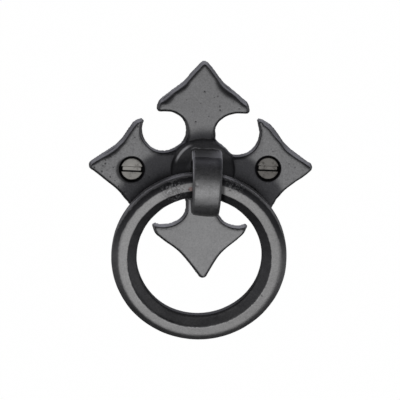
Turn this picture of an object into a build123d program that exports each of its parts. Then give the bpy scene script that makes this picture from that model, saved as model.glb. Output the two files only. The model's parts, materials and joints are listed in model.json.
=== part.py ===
from build123d import *
import os
from dataclasses import dataclass
from math import acos, asin, atan2, cos, degrees, radians, sin, tan

# Cast-iron ring pull: a cross-shaped backplate with four spade tips, a domed boss, an eye riveted
# through the boss, a closed ring that swings in the eye, and two slotted countersunk screws.
# Millimetres. The door's surface is the plane Y = 0, the front is -Y, up is +Z.
# The origin is on the door's surface, midway between the two screws.

# Backplate
plate_thickness = 3.2
plate_draft = 11.0
face_bevel = 0.15
knee_radius = 10.0
shoulder_radius = 3.0
barb_radius = 0.85


# One of the four notches, an ellipse where it meets the door
@dataclass
class Notch:
    x: float
    z: float
    width: float
    height: float


upper_left_notch = Notch(x=-9.0, z=9.5, width=11.3, height=10.2)
upper_right_notch = Notch(x=9.5, z=8.5, width=11.4, height=10.5)
lower_left_notch = Notch(x=-9.15, z=-9.6, width=11.0, height=10.2)
lower_right_notch = Notch(x=9.7, z=-9.9, width=11.2, height=10.2)


# One arm of the cross. Out is measured along the arm from the origin, across is square to it and
# grows to the right when the arm points up. The casting is a little uneven, so the arms differ.
@dataclass
class Arm:
    turn: float
    tip_out: float
    tip_across: float
    tip_radius: float
    knee_out: float
    knee_half: float
    knee_skew: float
    barb_reach: float
    barb_flare: float
    shoulder_rise: float
    lean: float
    lip: float


top_arm = Arm(
    turn=0,
    tip_out=27.8,
    tip_across=1.3,
    tip_radius=1.2,
    knee_out=21.75,
    knee_half=5.2,
    knee_skew=-0.1,
    barb_reach=2.7,
    barb_flare=0.6,
    shoulder_rise=2.9,
    lean=0.9,
    lip=0.1,
)
bottom_arm = Arm(
    turn=180,
    tip_out=29.35,
    tip_across=-0.9,
    tip_radius=1.2,
    knee_out=21.95,
    knee_half=5.1,
    knee_skew=-0.2,
    barb_reach=2.8,
    barb_flare=0.6,
    shoulder_rise=2.75,
    lean=0.0,
    lip=0.8,
)
left_arm = Arm(
    turn=90,
    tip_out=29.1,
    tip_across=1.0,
    tip_radius=1.35,
    knee_out=20.65,
    knee_half=6.05,
    knee_skew=-0.15,
    barb_reach=3.0,
    barb_flare=1.1,
    shoulder_rise=2.6,
    lean=0.5,
    lip=0.4,
)
right_arm = Arm(
    turn=-90,
    tip_out=29.5,
    tip_across=0.1,
    tip_radius=1.35,
    knee_out=21.45,
    knee_half=6.0,
    knee_skew=-0.55,
    barb_reach=4.4,
    barb_flare=2.1,
    shoulder_rise=3.3,
    lean=0.45,
    lip=0.7,
)

# Boss, a dome with a bevelled rim, cast on the plate
boss_across = 0.7
boss_height = -0.4
boss_radius = 8.1
boss_wall = 0.7
boss_rim = 0.45
boss_rise = 2.05
boss_top_radius = 3.9

# Eye, with a foot in the boss and a tenon riveted over in the plate's back
eye_across = 1.5
eye_lean = 2.8
eye_depth = 9.8
eye_height = -3.35
eye_radius = 7.5
eye_hole_radius = 4.0
eye_top_width = 7.5
eye_bottom_width = 6.9
eye_edge_bevel = 0.5
eye_hole_bevel = 0.35
eye_heel_angle = -115.0
foot_top = 5.1
foot_bottom = -7.5
foot_depth = 4.4
foot_clearance = 0.05
tenon_radius = 2.2
tenon_clearance = 0.05
rivet_radius = 3.2

# Ring
ring_radius = 19.03
ring_half_width = 3.15
ring_half_thickness = 2.75
ring_crease_in = 0.8
ring_facet_tilt = 8.4
ring_inner_flat = 0.8
ring_outer_bevel = 1.0
ring_shift = 0.87
ring_sag = 0.08
ring_door_gap = 0.1

# Screws
screw_spacing = 34.6
screw_head_radius = 2.8
screw_head_angle = 90.0
screw_sink = 0.5
screw_length = 19.0
screw_neck_radius = 1.6
screw_shank_radius = 1.45
screw_root_radius = 1.05
screw_plain_length = 7.0
screw_point_length = 3.2
screw_tip_radius = 0.15
screw_slot_width = 1.1
screw_slot_depth = 1.0
screw_slot_turn = -2.5
screw_hole_radius = 1.7
screw_clearance = 0.03

os.makedirs("parts", exist_ok=True)


# A point given across and out along an arm, in the plane of the plate
def arm_point(arm, across, out):
    return Vector(across, out).rotate(Axis.Z, arm.turn)


# The point of the notch beside an arm that lies furthest out along the arm, on one side of it
def notch_end(arm, side):
    places = [(Vector(notch.x, notch.z).rotate(Axis.Z, -arm.turn), notch) for notch in notches]
    centre, notch = max(places, key=lambda place: place[0].Y + side * place[0].X)
    upright = arm.turn in (0, 180)
    return centre.X, centre.Y + (notch.height if upright else notch.width) / 2


# Half of an arm's edge, from the inner end of its barb to its knee, and then its tip
def arm_edge(arm, side):
    end_across, end_out = notch_end(arm, side)
    other_across = notch_end(arm, -side)[0]
    barb_out = end_out - arm.lip
    barb_half = abs(end_across - other_across) / 2 + arm.barb_reach
    shoulder_half = barb_half - arm.barb_flare
    shoulder_out = barb_out + arm.shoulder_rise + side * arm.knee_skew / 2
    knee_out = arm.knee_out + side * arm.knee_skew
    return [
        arm_point(arm, end_across, end_out),
        arm_point(arm, arm.lean + side * barb_half, barb_out),
        arm_point(arm, arm.lean + side * shoulder_half, shoulder_out),
        arm_point(arm, arm.lean + side * arm.knee_half, knee_out),
    ]


# Backplate
door = Plane.XZ
over = 1.0
draft_slope = tan(radians(plate_draft))
notches = [upper_left_notch, upper_right_notch, lower_right_notch, lower_left_notch]

boss_shoulder = plate_thickness + boss_wall
boss_top = boss_shoulder + boss_rise
boss_profile = [
    (0, 0),
    (boss_radius, 0),
    (boss_radius, plate_thickness),
    (boss_radius - boss_wall * draft_slope, boss_shoulder),
    (boss_top_radius, boss_top),
    (0, boss_top),
]


# The plane in which a turned form's profile is drawn: radius along X, depth in front of the door up
def turning_plane(x, z=0):
    return Plane(origin=(x, 0, z), x_dir=(1, 0, 0), z_dir=(0, 0, -1))


def turning_axis(x, z=0):
    return Axis((x, 0, z), (0, -1, 0))


# Eye frame: leaned to one side, so that its top points a little to the right
lean_sin = sin(radians(eye_lean))
lean_cos = cos(radians(eye_lean))
eye_front = Plane(origin=(eye_across, 0, 0), x_dir=(lean_cos, 0, -lean_sin), z_dir=(0, -1, 0))
eye_side = Plane(origin=(eye_across, 0, 0), x_dir=(0, -1, 0), z_dir=(-lean_cos, 0, lean_sin))
eye_reach = eye_depth + eye_radius
eye_bottom = eye_height - eye_radius


# The eye as seen from the front: slightly narrower at the bottom
def eye_outline(spare):
    top = eye_top_width / 2 + spare
    bottom = eye_bottom_width / 2 + spare
    top_edge = [(-top, foot_top + spare), (top, foot_top + spare)]
    bottom_edge = [(bottom, eye_bottom), (-bottom, eye_bottom)]
    Polygon(*top_edge, *bottom_edge, align=None)


def screw_places():
    return [-screw_spacing / 2, screw_spacing / 2]


screw_seat_radius = screw_head_radius + screw_sink + screw_clearance

# The plate's edge is drafted up to the bevel round its face: depth in front of the door, and how far
# the edge has moved in there
bevel_depth = plate_thickness - face_bevel
bevel_start = bevel_depth * draft_slope
edge_steps = [(0, 0), (bevel_depth, bevel_start), (plate_thickness, bevel_start + face_bevel)]
notch_steps = [
    (-over, -over * draft_slope),
    (bevel_depth, bevel_start),
    (plate_thickness + over, bevel_start + face_bevel + over),
]

with BuildPart() as backplate:
    for arm in (top_arm, right_arm, bottom_arm, left_arm):
        right_edge = arm_edge(arm, 1)
        left_edge = arm_edge(arm, -1)
        tip = arm_point(arm, arm.tip_across, arm.tip_out)
        radii = [barb_radius, shoulder_radius, knee_radius]
        corner_radii = [*radii, arm.tip_radius, *reversed(radii)]
        for depth, inset in edge_steps:
            with BuildSketch(door.offset(depth)):
                with BuildLine():
                    FilletPolyline(*right_edge, tip, *reversed(left_edge), radius=corner_radii)
                    Polyline(left_edge[0], (0, 0), right_edge[0])
                make_face()
                offset(amount=-inset, kind=Kind.INTERSECTION)
        loft(ruled=True)
    with BuildSketch(door):
        with BuildLine():
            Polyline(*[(notch.x, notch.z) for notch in notches], close=True)
        make_face()
    extrude(amount=plate_thickness)
    for notch in notches:
        for depth, grow in notch_steps:
            with BuildSketch(door.offset(depth)):
                with Locations((notch.x, notch.z)):
                    Ellipse(notch.width / 2 + grow, notch.height / 2 + grow)
        loft(ruled=True, mode=Mode.SUBTRACT)
    with BuildSketch(turning_plane(boss_across, boss_height)):
        with BuildLine():
            Polyline(*boss_profile, close=True)
        make_face()
    revolve(axis=turning_axis(boss_across, boss_height))
    round_edges = backplate.edges().filter_by(GeomType.CIRCLE)
    chamfer(round_edges.filter_by_position(Axis.Y, -boss_top, -boss_shoulder), boss_rim)
    with BuildSketch(eye_front.offset(foot_depth)):
        eye_outline(foot_clearance)
        foot_middle = (foot_top + foot_bottom) / 2
        with Locations((0, foot_middle)):
            foot_height = foot_top - foot_bottom + 2 * foot_clearance
            Rectangle(eye_top_width * 2, foot_height, mode=Mode.INTERSECT)
    extrude(amount=boss_top, mode=Mode.SUBTRACT)
    with Locations(Plane(origin=(eye_across, 0, 0), z_dir=(0, 1, 0))):
        CounterSinkHole(tenon_radius + tenon_clearance, rivet_radius + tenon_clearance, counter_sink_angle=90)
    for x in screw_places():
        with Locations(Plane(origin=(x, -plate_thickness, 0), z_dir=(0, -1, 0))):
            CounterSinkHole(screw_hole_radius, screw_seat_radius, counter_sink_angle=screw_head_angle)

# Eye: a round loop. Its roof leaves the foot's top corner at a tangent, and its underside runs straight
# back from the heel to the foot
eye_centre = Vector(eye_depth, eye_height)
eye_axis = Axis((eye_across, 0, 0), eye_front.x_dir)
to_foot_top = Vector(foot_depth, foot_top) - eye_centre
foot_top_angle = degrees(atan2(to_foot_top.Y, to_foot_top.X))
roof_angle = foot_top_angle - degrees(acos(eye_radius / to_foot_top.length))
rivet_profile = [
    (0, 0),
    (rivet_radius, 0),
    (tenon_radius, rivet_radius - tenon_radius),
    (tenon_radius, foot_depth),
    (0, foot_depth),
]

with BuildPart() as ring_eye:
    with BuildSketch(eye_side):
        with BuildLine():
            loop = CenterArc(eye_centre, eye_radius, eye_heel_angle, roof_angle - eye_heel_angle)
            Polyline(loop @ 1, (foot_depth, foot_top), (foot_depth, foot_bottom), loop @ 0)
        make_face()
    extrude(amount=eye_top_width, both=True)
    with BuildSketch(eye_front):
        eye_outline(0)
    extrude(amount=eye_reach + over, mode=Mode.INTERSECT)
    eye_sides = ring_eye.faces().sort_by(eye_axis)
    side_edges = eye_sides[0].edges() + eye_sides[-1].edges()
    chamfer(side_edges.filter_by_position(Axis.Y, -eye_reach, -foot_depth, (True, False)), eye_edge_bevel)
    with BuildSketch(eye_side):
        with Locations(eye_centre):
            Circle(eye_hole_radius)
    extrude(amount=eye_top_width, both=True, mode=Mode.SUBTRACT)
    hole_edges = ring_eye.edges(Select.LAST).filter_by(GeomType.LINE, reverse=True)
    chamfer(hole_edges, eye_hole_bevel)
    with BuildSketch(turning_plane(eye_across)):
        with BuildLine():
            Polyline(*rivet_profile, close=True)
        make_face()
    revolve(axis=turning_axis(eye_across))

# Ring: it hangs from the eye and its lowest point leans back on the door
hinge = eye_side.from_local_coords(eye_centre)
ring_tilt = asin((eye_depth - ring_half_thickness - ring_door_gap) / (2 * ring_radius))
eye_up = eye_side.y_dir
forward = Vector(0, -1, 0)
ring_down = forward * -sin(ring_tilt) - eye_up * cos(ring_tilt)
ring_front = forward * cos(ring_tilt) - eye_up * sin(ring_tilt)
ring_centre = hinge + ring_down * (ring_radius - ring_sag) - eye_front.x_dir * ring_shift
ring_section = Plane(origin=ring_centre, x_dir=ring_down, z_dir=ring_down.cross(ring_front))
facet_slope = tan(radians(ring_facet_tilt))
bevel_in = ring_half_width - ring_outer_bevel


# How far the ring's front stands off its mid plane, between the crease and the outer edge
def facet_rise(out):
    return ring_half_thickness - (out + ring_crease_in) * facet_slope


half_section = [
    (-ring_half_width, ring_inner_flat / 2),
    (-ring_crease_in, ring_half_thickness),
    (bevel_in, facet_rise(bevel_in)),
    (ring_half_width, facet_rise(ring_half_width) - ring_outer_bevel),
]
front_points = [(ring_radius + out, rise) for out, rise in half_section]
back_points = [(out, -rise) for out, rise in reversed(front_points)]

with BuildPart() as pull_ring:
    with BuildSketch(ring_section):
        with BuildLine():
            Polyline(*front_points, *back_points, close=True)
        make_face()
    revolve(axis=Axis(ring_centre, ring_front))

# Screws
screw_face = plate_thickness - screw_sink
head_slope = tan(radians(screw_head_angle / 2))
head_depth = (screw_head_radius - screw_neck_radius) / head_slope
screw_end = screw_face - screw_length
thread_start = screw_face - screw_plain_length
screw_profile = [
    (0, screw_face),
    (screw_head_radius, screw_face),
    (screw_neck_radius, screw_face - head_depth),
    (screw_shank_radius, 0),
    (screw_shank_radius, thread_start),
    (screw_root_radius, thread_start - (screw_shank_radius - screw_root_radius)),
    (screw_root_radius, screw_end + screw_point_length),
    (screw_tip_radius, screw_end),
    (0, screw_end),
]


def make_screw(x):
    with BuildPart() as screw:
        with BuildSketch(turning_plane(x)):
            with BuildLine():
                Polyline(*screw_profile, close=True)
            make_face()
        revolve(axis=turning_axis(x))
        with BuildSketch(door.offset(screw_face - screw_slot_depth)):
            with Locations((x, 0)):
                Rectangle(3 * screw_head_radius, screw_slot_width, rotation=screw_slot_turn)
        extrude(amount=screw_slot_depth + over, mode=Mode.SUBTRACT)
    return screw


left_x, right_x = screw_places()
screw_left = make_screw(left_x)
screw_right = make_screw(right_x)

pieces = {
    "backplate": backplate,
    "ring_eye": ring_eye,
    "pull_ring": pull_ring,
    "screw_left": screw_left,
    "screw_right": screw_right,
}
for name, piece in pieces.items():
    piece.part.label = name
    export_step(piece.part, f"parts/{name}.step")

print("hinge", [round(value, 3) for value in hinge], "axis", [round(-value, 5) for value in eye_front.x_dir])
print("ring tilt", round(degrees(ring_tilt), 2), "centre", [round(value, 3) for value in ring_centre])
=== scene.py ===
import bpy
import json
import math
from mathutils import Matrix, Vector, noise
from mathutils.kdtree import KDTree


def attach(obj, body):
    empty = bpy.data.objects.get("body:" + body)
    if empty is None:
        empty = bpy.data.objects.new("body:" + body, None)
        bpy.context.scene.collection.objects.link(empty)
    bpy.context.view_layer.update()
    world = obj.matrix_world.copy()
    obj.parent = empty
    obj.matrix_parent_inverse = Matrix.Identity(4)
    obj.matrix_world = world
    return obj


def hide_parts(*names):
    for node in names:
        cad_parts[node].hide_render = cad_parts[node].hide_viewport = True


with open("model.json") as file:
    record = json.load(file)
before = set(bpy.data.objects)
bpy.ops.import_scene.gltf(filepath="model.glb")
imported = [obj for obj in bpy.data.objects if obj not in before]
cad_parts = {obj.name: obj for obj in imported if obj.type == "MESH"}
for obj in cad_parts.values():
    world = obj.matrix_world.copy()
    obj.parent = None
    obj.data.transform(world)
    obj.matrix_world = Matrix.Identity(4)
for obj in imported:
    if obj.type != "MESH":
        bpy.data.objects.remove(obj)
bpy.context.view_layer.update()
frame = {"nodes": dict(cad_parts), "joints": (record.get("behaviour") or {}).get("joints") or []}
mm = 0.001
hair = 0.001 * mm        # places closer than this count as one
screwX = 17.3 * mm       # the screws' axes, on either side of the middle
bossCentre = (0.7 * mm, 0, -0.4 * mm)

# The front of the pull looks along -Y, the door is the plane y = 0. The camera looks a little down on
# it, from a little to the left.
view = {
    "azimuth": -2.0,
    "elevation": 8.0,
    "distance": 600 * mm,
    "target": (0.1 * mm, 0, -8.4 * mm),
    "frameWidth": 400 * 0.2556 * mm,    # 400 pixels of 0.2556 mm
    "sensor": 36,
}


def directionFrom(azimuth, elevation):
    flat = math.cos(math.radians(elevation))
    return Vector((
        math.sin(math.radians(azimuth)) * flat,
        -math.cos(math.radians(azimuth)) * flat,
        math.sin(math.radians(elevation)),
    ))


def addCamera():
    back = directionFrom(view["azimuth"], view["elevation"])
    data = bpy.data.cameras.new("camera")
    data.sensor_width = view["sensor"]
    data.lens = view["sensor"] * view["distance"] / view["frameWidth"]
    camera = bpy.data.objects.new("camera", data)
    bpy.context.scene.collection.objects.link(camera)
    camera.location = Vector(view["target"]) + back * view["distance"]
    camera.rotation_euler = back.to_track_quat("Z", "Y").to_euler()
    bpy.context.scene.camera = camera


addCamera()
print("camera placed")


# A node's output, with arithmetic that adds the nodes for it
class Wire:
    def __init__(self, tree, socket=None):
        self.tree = tree
        self.socket = socket

    def make(self, kind, settings, inputs, output=0):
        node = self.tree.nodes.new(kind)
        for name, setting in settings.items():
            setattr(node, name, setting)
        for name, value in inputs.items():
            if isinstance(value, Wire):
                self.tree.links.new(value.socket, node.inputs[name])
            else:
                node.inputs[name].default_value = value
        return Wire(self.tree, node.outputs[output])

    def feed(self, socket):
        self.tree.links.new(self.socket, socket)

    def maths(self, operation, first, second):
        return self.make("ShaderNodeMath", {"operation": operation}, {0: first, 1: second})

    def __add__(self, other):
        return self.maths("ADD", self, other)

    def __radd__(self, other):
        return self.maths("ADD", other, self)

    def __sub__(self, other):
        return self.maths("SUBTRACT", self, other)

    def __rsub__(self, other):
        return self.maths("SUBTRACT", other, self)

    def __mul__(self, other):
        return self.maths("MULTIPLY", self, other)

    def __rmul__(self, other):
        return self.maths("MULTIPLY", other, self)

    def __abs__(self):
        return self.maths("ABSOLUTE", self, 0.0)

    def least(self, other):
        return self.maths("MINIMUM", self, other)

    def most(self, other):
        return self.maths("MAXIMUM", self, other)

    # 0 up to the first value and full strength from the second on, softly between them
    def ramp(self, start, end, strength=1.0):
        inputs = {"Value": self, "From Min": start, "From Max": end, "To Max": strength}
        return self.make("ShaderNodeMapRange", {"interpolation_type": "SMOOTHSTEP"}, inputs)

    # A soft band about a value
    def band(self, middle, half, strength=1.0):
        core = 0.2 * half
        return self.ramp(middle - half, middle - core) * self.ramp(middle + half, middle + core, strength)

    def blend(self, low, high):
        return self.make("ShaderNodeMix", {"data_type": "RGBA"}, {0: self, 6: low, 7: high}, 2)

    # The colour, brightened or darkened by this factor
    def tint(self, colour):
        return self.make("ShaderNodeVectorMath", {"operation": "SCALE"}, {0: colour, "Scale": self})

    # Speckle on the place that this wire holds, in features of about this size
    def speckle(self, size, detail, roughness):
        inputs = {"Vector": self, "Scale": 1 / size, "Detail": detail, "Roughness": roughness}
        return self.make("ShaderNodeTexNoise", {}, inputs)

    # The same place with its depth taken out, or with its axes scaled otherwise
    def flat(self, keep=(1, 0, 1)):
        return self.make("ShaderNodeVectorMath", {"operation": "MULTIPLY"}, {0: self, 1: keep})

    def distanceTo(self, place):
        return self.make("ShaderNodeVectorMath", {"operation": "DISTANCE"}, {0: self, 1: place}, "Value")

    # A ramp on how far it is to a place
    def around(self, place, start, end, strength=1.0):
        return self.distanceTo(place).ramp(start, end, strength)

    def part(self, axis):
        return self.make("ShaderNodeSeparateXYZ", {}, {0: self}, axis)

    def normal(self):
        return self.make("ShaderNodeTexCoord", {}, {}, "Normal")

    def bump(self, height, distance):
        return self.make("ShaderNodeBump", {}, {"Height": height, "Strength": 1.0, "Distance": distance})


def newMaterial(name):
    material = bpy.data.materials.new(name)
    material.use_nodes = True
    tree = material.node_tree
    shader = tree.nodes["Principled BSDF"]
    place = Wire(tree).make("ShaderNodeTexCoord", {}, {}, "Object")
    return material, shader, place


# Cast iron under a thin black finish: satin, a little grainy, with painted light and shade in its colour, and a
# trace of rust in the low places. Speckles are size, detail and roughness.
iron = {
    # the iron's colour where painted light falls
    "litColour": (0.245, 0.245, 0.248, 1),
    # the upper arms' colour, a little darker as painted shade
    "shadedUpperColour": (0.205, 0.205, 0.208, 1),
    "ringColour": (0.268, 0.266, 0.266, 1),
    "ringLeftColour": (0.3, 0.298, 0.298, 1),
    # the finish's black, which is also the colour of painted shade
    "dark": (0.05, 0.05, 0.054, 1),
    # the boss in painted shadow, a little less dark higher up
    "bossLow": (0.04, 0.04, 0.043, 1),
    "bossTop": (0.15, 0.15, 0.155, 1),
    # near black of painted shade and of dark specks
    "shadeAndSpeckColour": (0.012, 0.012, 0.013, 1),
    # the pale of painted highlights and of scuffed spots
    "scuffAndHighlight": (0.65, 0.65, 0.66, 1),
    "rust": (0.2, 0.1, 0.085, 1),
    "metallic": 0.93,
    "metallicLostToScuffsAndHighlights": 0.85,
    "roughness": 0.42,
    "roughnessFrom": {"blotch": 0.14, "grain": 0.12, "pores": 0.15, "scuffsAndHighlights": 0.3},
    "grain": (0.55 * mm, 3.0, 0.55),
    "fineGrain": (0.3 * mm, 1.0, 0.5),
    "blotch": (5.0 * mm, 3.0, 0.6),
    "lumps": (1.5 * mm, 2.0, 0.5),
    "pores": (1.3 * mm, 1.0, 0.4),
    "poresFrom": (0.24, 0.18),
    "poresDark": 0.45,
    "paintedLightAndBlotch": (-0.05, 1.05),
    "paintedLightShare": 0.94,
    "wearFromBlotch": 0.22,
    "mottle": 0.52,
    "bumps": {"grain": 0.7, "lumps": 1.0, "pores": 0.8},
    "bumpDepth": 0.016 * mm,
    "rustSpots": [((-2.6 * mm, -12.4 * mm, -3.9 * mm), 0.62 * mm), ((18.2 * mm, -7.0 * mm, -9.2 * mm), 0.35 * mm)],
    "rustShare": 0.6,
}


# How light and shade are painted on the plate: bright on the lower arm, a little darker on the others as painted
# shade, in painted shadow round the boss and on the arms just over the ring, as the lug and the ring cast it, in
# painted shade in the countersinks and where the edge turns down, with painted highlights on the boss's rim and
# beside the eye. Dark specks and the speckle on the side arms are the casting's own. Ramps are start, end and
# strength, bands middle, half width and strength, and a place before them is a ramp's centre. Specks are x, z
# and size in mm.
plateLightAndWear = {
    # painted shadow round the boss and on the arms just over the ring, as the lug and the ring cast it
    "clearOfBoss": ((1.2 * mm, 0, 0.6 * mm), 7.2 * mm, 11.2 * mm),
    "overRing": ((-0.44 * mm, 0, -15.9 * mm), 21.4 * mm, 24.4 * mm),
    "lessOnRight": (14 * mm, 21 * mm, 0.9 * mm),
    "inRing": ((-0.44 * mm, 0, -21.9 * mm), 20.5 * mm, 19.0 * mm),
    "boss": (8.5 * mm, 8.0 * mm),
    "bossHeight": (1.5 * mm, 5 * mm),
    # painted shade on the upper arms
    "upperArms": (-12 * mm, -6 * mm),
    # painted shade where the edge rolls over and looks down
    "rolled": (-3.12 * mm, -2.95 * mm),
    "lookingDown": (-0.25, -0.6, 0.75),
    "turning": (0.74, 0.25),
    "turningDepth": (-1.9 * mm, -2.4 * mm, 0.6),
    # painted shade in the countersinks
    "sinkShade": [
        ((-screwX, 0, 0), 3.5 * mm, 3.25 * mm),
        ((screwX, 0, 0), 3.5 * mm, 3.25 * mm),
        ((-18.0 * mm, 0, -0.2 * mm), 3.7 * mm, 3.0 * mm, 0.8),
    ],
    "specks": [
        (1.2, 19.8, 0.28), (5.0, 16.0, 0.25), (5.1, 15.0, 0.27), (9.9, 15.3, 0.22), (-1.1, 12.1, 0.29),
        (0.2, 16.7, 0.17), (-26.8, 0.5, 0.4), (-24.0, 1.5, 0.36), (-24.6, 0.9, 0.3), (-24.9, -0.5, 0.36),
        (-24.0, 2.4, 0.3), (-22.0, 0.5, 0.24), (-22.8, -1.9, 0.32), (-20.7, -4.3, 0.32), (-22.6, 3.2, 0.24),
        (-23.4, -3.2, 0.26), (-21.6, -2.9, 0.2), (-19.2, -5.8, 0.26), (-15.7, 10.8, 0.3), (-16.5, 8.1, 0.22),
        (3.6, 18.2, 0.18), (-3.4, 17.6, 0.18), (-2.0, 14.6, 0.16), (2.2, 13.4, 0.2), (22.6, 1.2, 0.22),
    ],
    "speckShare": 0.75,
    "speckCore": 0.4,
    "leftArm": (-11 * mm, -15 * mm),
    "rightArm": (11 * mm, 15 * mm, 0.7),
    "armSpeckle": (0.5 * mm, 3.0, 0.75),
    "darkSpeckle": (0.48, 0.34, 0.32),
    "paleSpeckle": (0.58, 0.72, 0.07),
    # painted highlights: a crescent on the boss's upper left rim and a sliver beside the eye
    "crescent": (7.25 * mm, 0.45 * mm),
    "crescentPlace": ((-4.6 * mm, 0, 4.6 * mm), 3.6 * mm, 1.2 * mm, 0.9),
    "sliverAcross": (-2.65 * mm, 0.4 * mm),
    "sliverHeight": (-9.6 * mm, 2.2 * mm),
}


def plateTones(place):
    flat = place.flat()
    across = place.part("X")
    depth = place.part("Y")
    height = place.part("Z")
    # painted shadow round the boss and on the arms just over the ring, as the lug and the ring cast it; the lower
    # arm inside the ring stays lit
    clearOfBoss = flat.around(*plateLightAndWear["clearOfBoss"])
    shadeCentre, shadeStart, shadeEnd = plateLightAndWear["overRing"]
    overRing = (flat.distanceTo(shadeCentre) - across.ramp(*plateLightAndWear["lessOnRight"])).ramp(shadeStart, shadeEnd)
    paintedLight = clearOfBoss.least(overRing).most(flat.around(*plateLightAndWear["inRing"]))
    # the boss in painted shadow, a little less dark higher up
    boss = height.ramp(*plateLightAndWear["bossHeight"]).blend(iron["bossLow"], iron["bossTop"])
    dark = flat.around(bossCentre, *plateLightAndWear["boss"]).blend(iron["dark"], boss)
    # painted shade: the upper arms a little darker than the lower one
    litColour = height.ramp(*plateLightAndWear["upperArms"]).blend(iron["litColour"], iron["shadedUpperColour"])
    # painted shade where the edge rolls over and looks down
    facing = place.normal()
    turning = (facing.part("Y") * -1.0).band(*plateLightAndWear["turning"]) * depth.ramp(*plateLightAndWear["turningDepth"])
    below = facing.part("Z").ramp(*plateLightAndWear["lookingDown"])
    shadeAndSpecks = depth.ramp(*plateLightAndWear["rolled"]) * below.most(turning)
    # painted shade in the countersinks; the dark specks and the speckle on the side arms are the casting's own
    for spot in plateLightAndWear["sinkShade"]:
        shadeAndSpecks = shadeAndSpecks.most(flat.around(*spot))
    for x, z, size in plateLightAndWear["specks"]:
        core = plateLightAndWear["speckCore"] * size * mm
        shadeAndSpecks = shadeAndSpecks.most(flat.around((x * mm, 0, z * mm), size * mm, core, plateLightAndWear["speckShare"]))
    onSide = across.ramp(*plateLightAndWear["leftArm"]).most(across.ramp(*plateLightAndWear["rightArm"]))
    speckles = place.speckle(*plateLightAndWear["armSpeckle"])
    shadeAndSpecks = shadeAndSpecks.most(speckles.ramp(*plateLightAndWear["darkSpeckle"]) * onSide)
    # painted highlights: a crescent on the boss's upper left rim and a sliver beside the eye; the pale speckle on
    # the side arms is the casting's own
    crescent = flat.distanceTo(bossCentre).band(*plateLightAndWear["crescent"]) * flat.around(*plateLightAndWear["crescentPlace"])
    sliver = across.band(*plateLightAndWear["sliverAcross"]) * height.band(*plateLightAndWear["sliverHeight"])
    scuffAndHighlight = crescent.most(sliver).most(speckles.ramp(*plateLightAndWear["paleSpeckle"]) * onSide)
    return paintedLight, litColour, dark, shadeAndSpecks, scuffAndHighlight


# The eye's colour is dark on its roof as a painted reflection of the boss above, in painted shade underneath,
# darker on its right side and lighter in front. Its edges are paler, and a line over the roof and a band low on
# its front are painted highlights. Ramps and bands are given as on the plate.
eyeLightAndWear = {
    "least": 0.36,
    "front": (3.2 * mm, -0.6 * mm, 0.7),
    "rightSide": (3.2 * mm, 5.4 * mm, 0.4),
    "underside": (-8.0 * mm, -10.0 * mm, 0.45),
    "rim": ((0, -9.8 * mm, -3.35 * mm), 6.6 * mm, 7.1 * mm),
    "upper": (-3.0 * mm, 2.5 * mm),
    "leftEdge": (-1.85 * mm, -2.05 * mm),
    "rightEdge": (5.05 * mm, 5.3 * mm, 0.6),
    "roofFront": (-11.4 * mm, -10.9 * mm, 0.3),
    "roofLine": (-11.2 * mm, 0.35 * mm, 0.25),
    "roofHeight": (2.4 * mm, 3.2 * mm),
    "streaks": (0.7 * mm, 3.0, 0.7),
    "darkStreaks": (0.5, 0.32),
    "darkStreakShare": 0.14,
    "moreBelow": (-6.5 * mm, -8.5 * mm, 0.2),
    "paleStreaks": (0.55, 0.75),
    "paleStreakHeight": (-9 * mm, -7 * mm, 0.12),
    "paleLine": (-6.9 * mm, 1.0 * mm, 0.06),
}


def eyeTones(place):
    across = place.part("X")
    depth = place.part("Y")
    height = place.part("Z")
    # painted light in front, painted shade on the roof, where the boss above would be mirrored, and underneath;
    # darker on the right side
    paintedLight = height.ramp(*eyeLightAndWear["front"]) + eyeLightAndWear["least"] - across.ramp(*eyeLightAndWear["rightSide"])
    paintedLight = paintedLight - height.ramp(*eyeLightAndWear["underside"])
    onRim = place.flat((0, 1, 1)).around(*eyeLightAndWear["rim"])
    edges = across.ramp(*eyeLightAndWear["leftEdge"]) + across.ramp(*eyeLightAndWear["rightEdge"])
    # painted highlights over the roof, and paler edges
    roof = depth.ramp(*eyeLightAndWear["roofFront"]) + depth.band(*eyeLightAndWear["roofLine"])
    scuffAndHighlight = edges * onRim * height.ramp(*eyeLightAndWear["upper"]) + roof * height.ramp(*eyeLightAndWear["roofHeight"])
    # dark streaks are the eye's own; more of them low down add to the painted shade there
    streaks = place.speckle(*eyeLightAndWear["streaks"])
    streakShare = eyeLightAndWear["darkStreakShare"] + height.ramp(*eyeLightAndWear["moreBelow"])
    smeared = streaks.ramp(*eyeLightAndWear["darkStreaks"]) * streakShare
    scuffAndHighlight = scuffAndHighlight.most(streaks.ramp(*eyeLightAndWear["paleStreaks"]) * height.ramp(*eyeLightAndWear["paleStreakHeight"]))
    # painted highlight: a faint pale band low on the front
    scuffAndHighlight = scuffAndHighlight.most(height.band(*eyeLightAndWear["paleLine"]))
    return paintedLight, iron["litColour"], iron["dark"], smeared, scuffAndHighlight


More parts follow.
